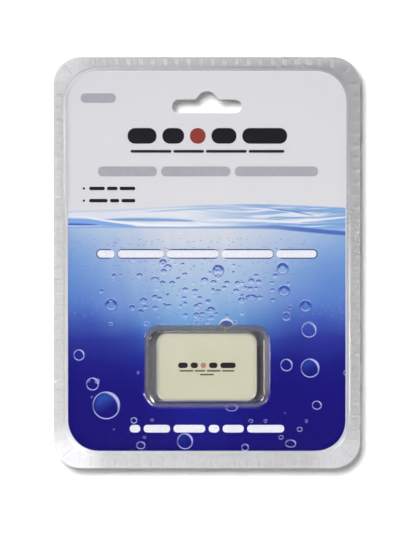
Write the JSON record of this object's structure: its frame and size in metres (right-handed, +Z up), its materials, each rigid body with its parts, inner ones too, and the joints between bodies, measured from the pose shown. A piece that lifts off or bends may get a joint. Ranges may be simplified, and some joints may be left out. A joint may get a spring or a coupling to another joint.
{
  "type": "magnetic glass cleaner",
  "caption": "Magnet-coupled glass cleaner of a felt-faced outer half and a floating scrubber half, held in the bubbles of a clear hanging pack around a printed card with a hang slot.",
  "frame": {"origin": "centre of the straight part of the hang slot, in the middle of the printed card's thickness", "axes": "+Z up as the pack hangs, +Y from the front to the back of the pack, +X to the right seen from the front"},
  "size_m": [0.1404, 0.0284, 0.1884],
  "materials": {
    "printed_card": "satin printed card, pale lilac above and deep blue below",
    "spacer_card": "plain uncoated card",
    "cream_plastic": "moulded cream, soft sheen",
    "ferrite": "dull dark grey, ground faces",
    "steel": "zinc plated sheet",
    "foam": "closed-cell foam",
    "tape": "double-sided adhesive sheet",
    "felt": "dense needled felt",
    "scrub_fibre": "stiff looped synthetic fibre",
    "seal_rubber": "soft black sealing bead",
    "clear_film": "thin clear thermoformed plastic film"
  },
  "bodies": {
    "card": {"printed_card": "printed_card", "spacer_card": "spacer_card"},
    "outer_half": {"outer_cap": "cream_plastic", "outer_base": "cream_plastic", "outer_magnet_left": "ferrite", "outer_magnet_right": "ferrite", "outer_keeper": "steel", "outer_filler": "foam", "felt_tape": "tape", "felt_pad": "felt"},
    "front_shell": {"front_shell": "clear_film"},
    "floating_half": {"float_cap": "cream_plastic", "float_base": "cream_plastic", "float_seal": "seal_rubber", "float_magnet_left": "ferrite", "float_magnet_right": "ferrite", "float_keeper": "steel", "float_foam": "foam", "scrub_tape": "tape", "scrub_pad": "scrub_fibre"},
    "back_shell": {"back_shell": "clear_film"}
  },
  "joints": [
    {"name": "outer_half_lift", "type": "slide", "parent": "card", "child": "outer_half", "axis": [0, -1, 0], "range_m": [0, 0.04]},
    {"name": "front_shell_peel", "type": "slide", "parent": "outer_half", "child": "front_shell", "axis": [0, -1, 0], "range_m": [0, 0.06]},
    {"name": "floating_half_lift", "type": "slide", "parent": "card", "child": "floating_half", "axis": [0, 1, 0], "range_m": [0, 0.04]},
    {"name": "back_shell_peel", "type": "slide", "parent": "floating_half", "child": "back_shell", "axis": [0, 1, 0], "range_m": [0, 0.06]}
  ]
}
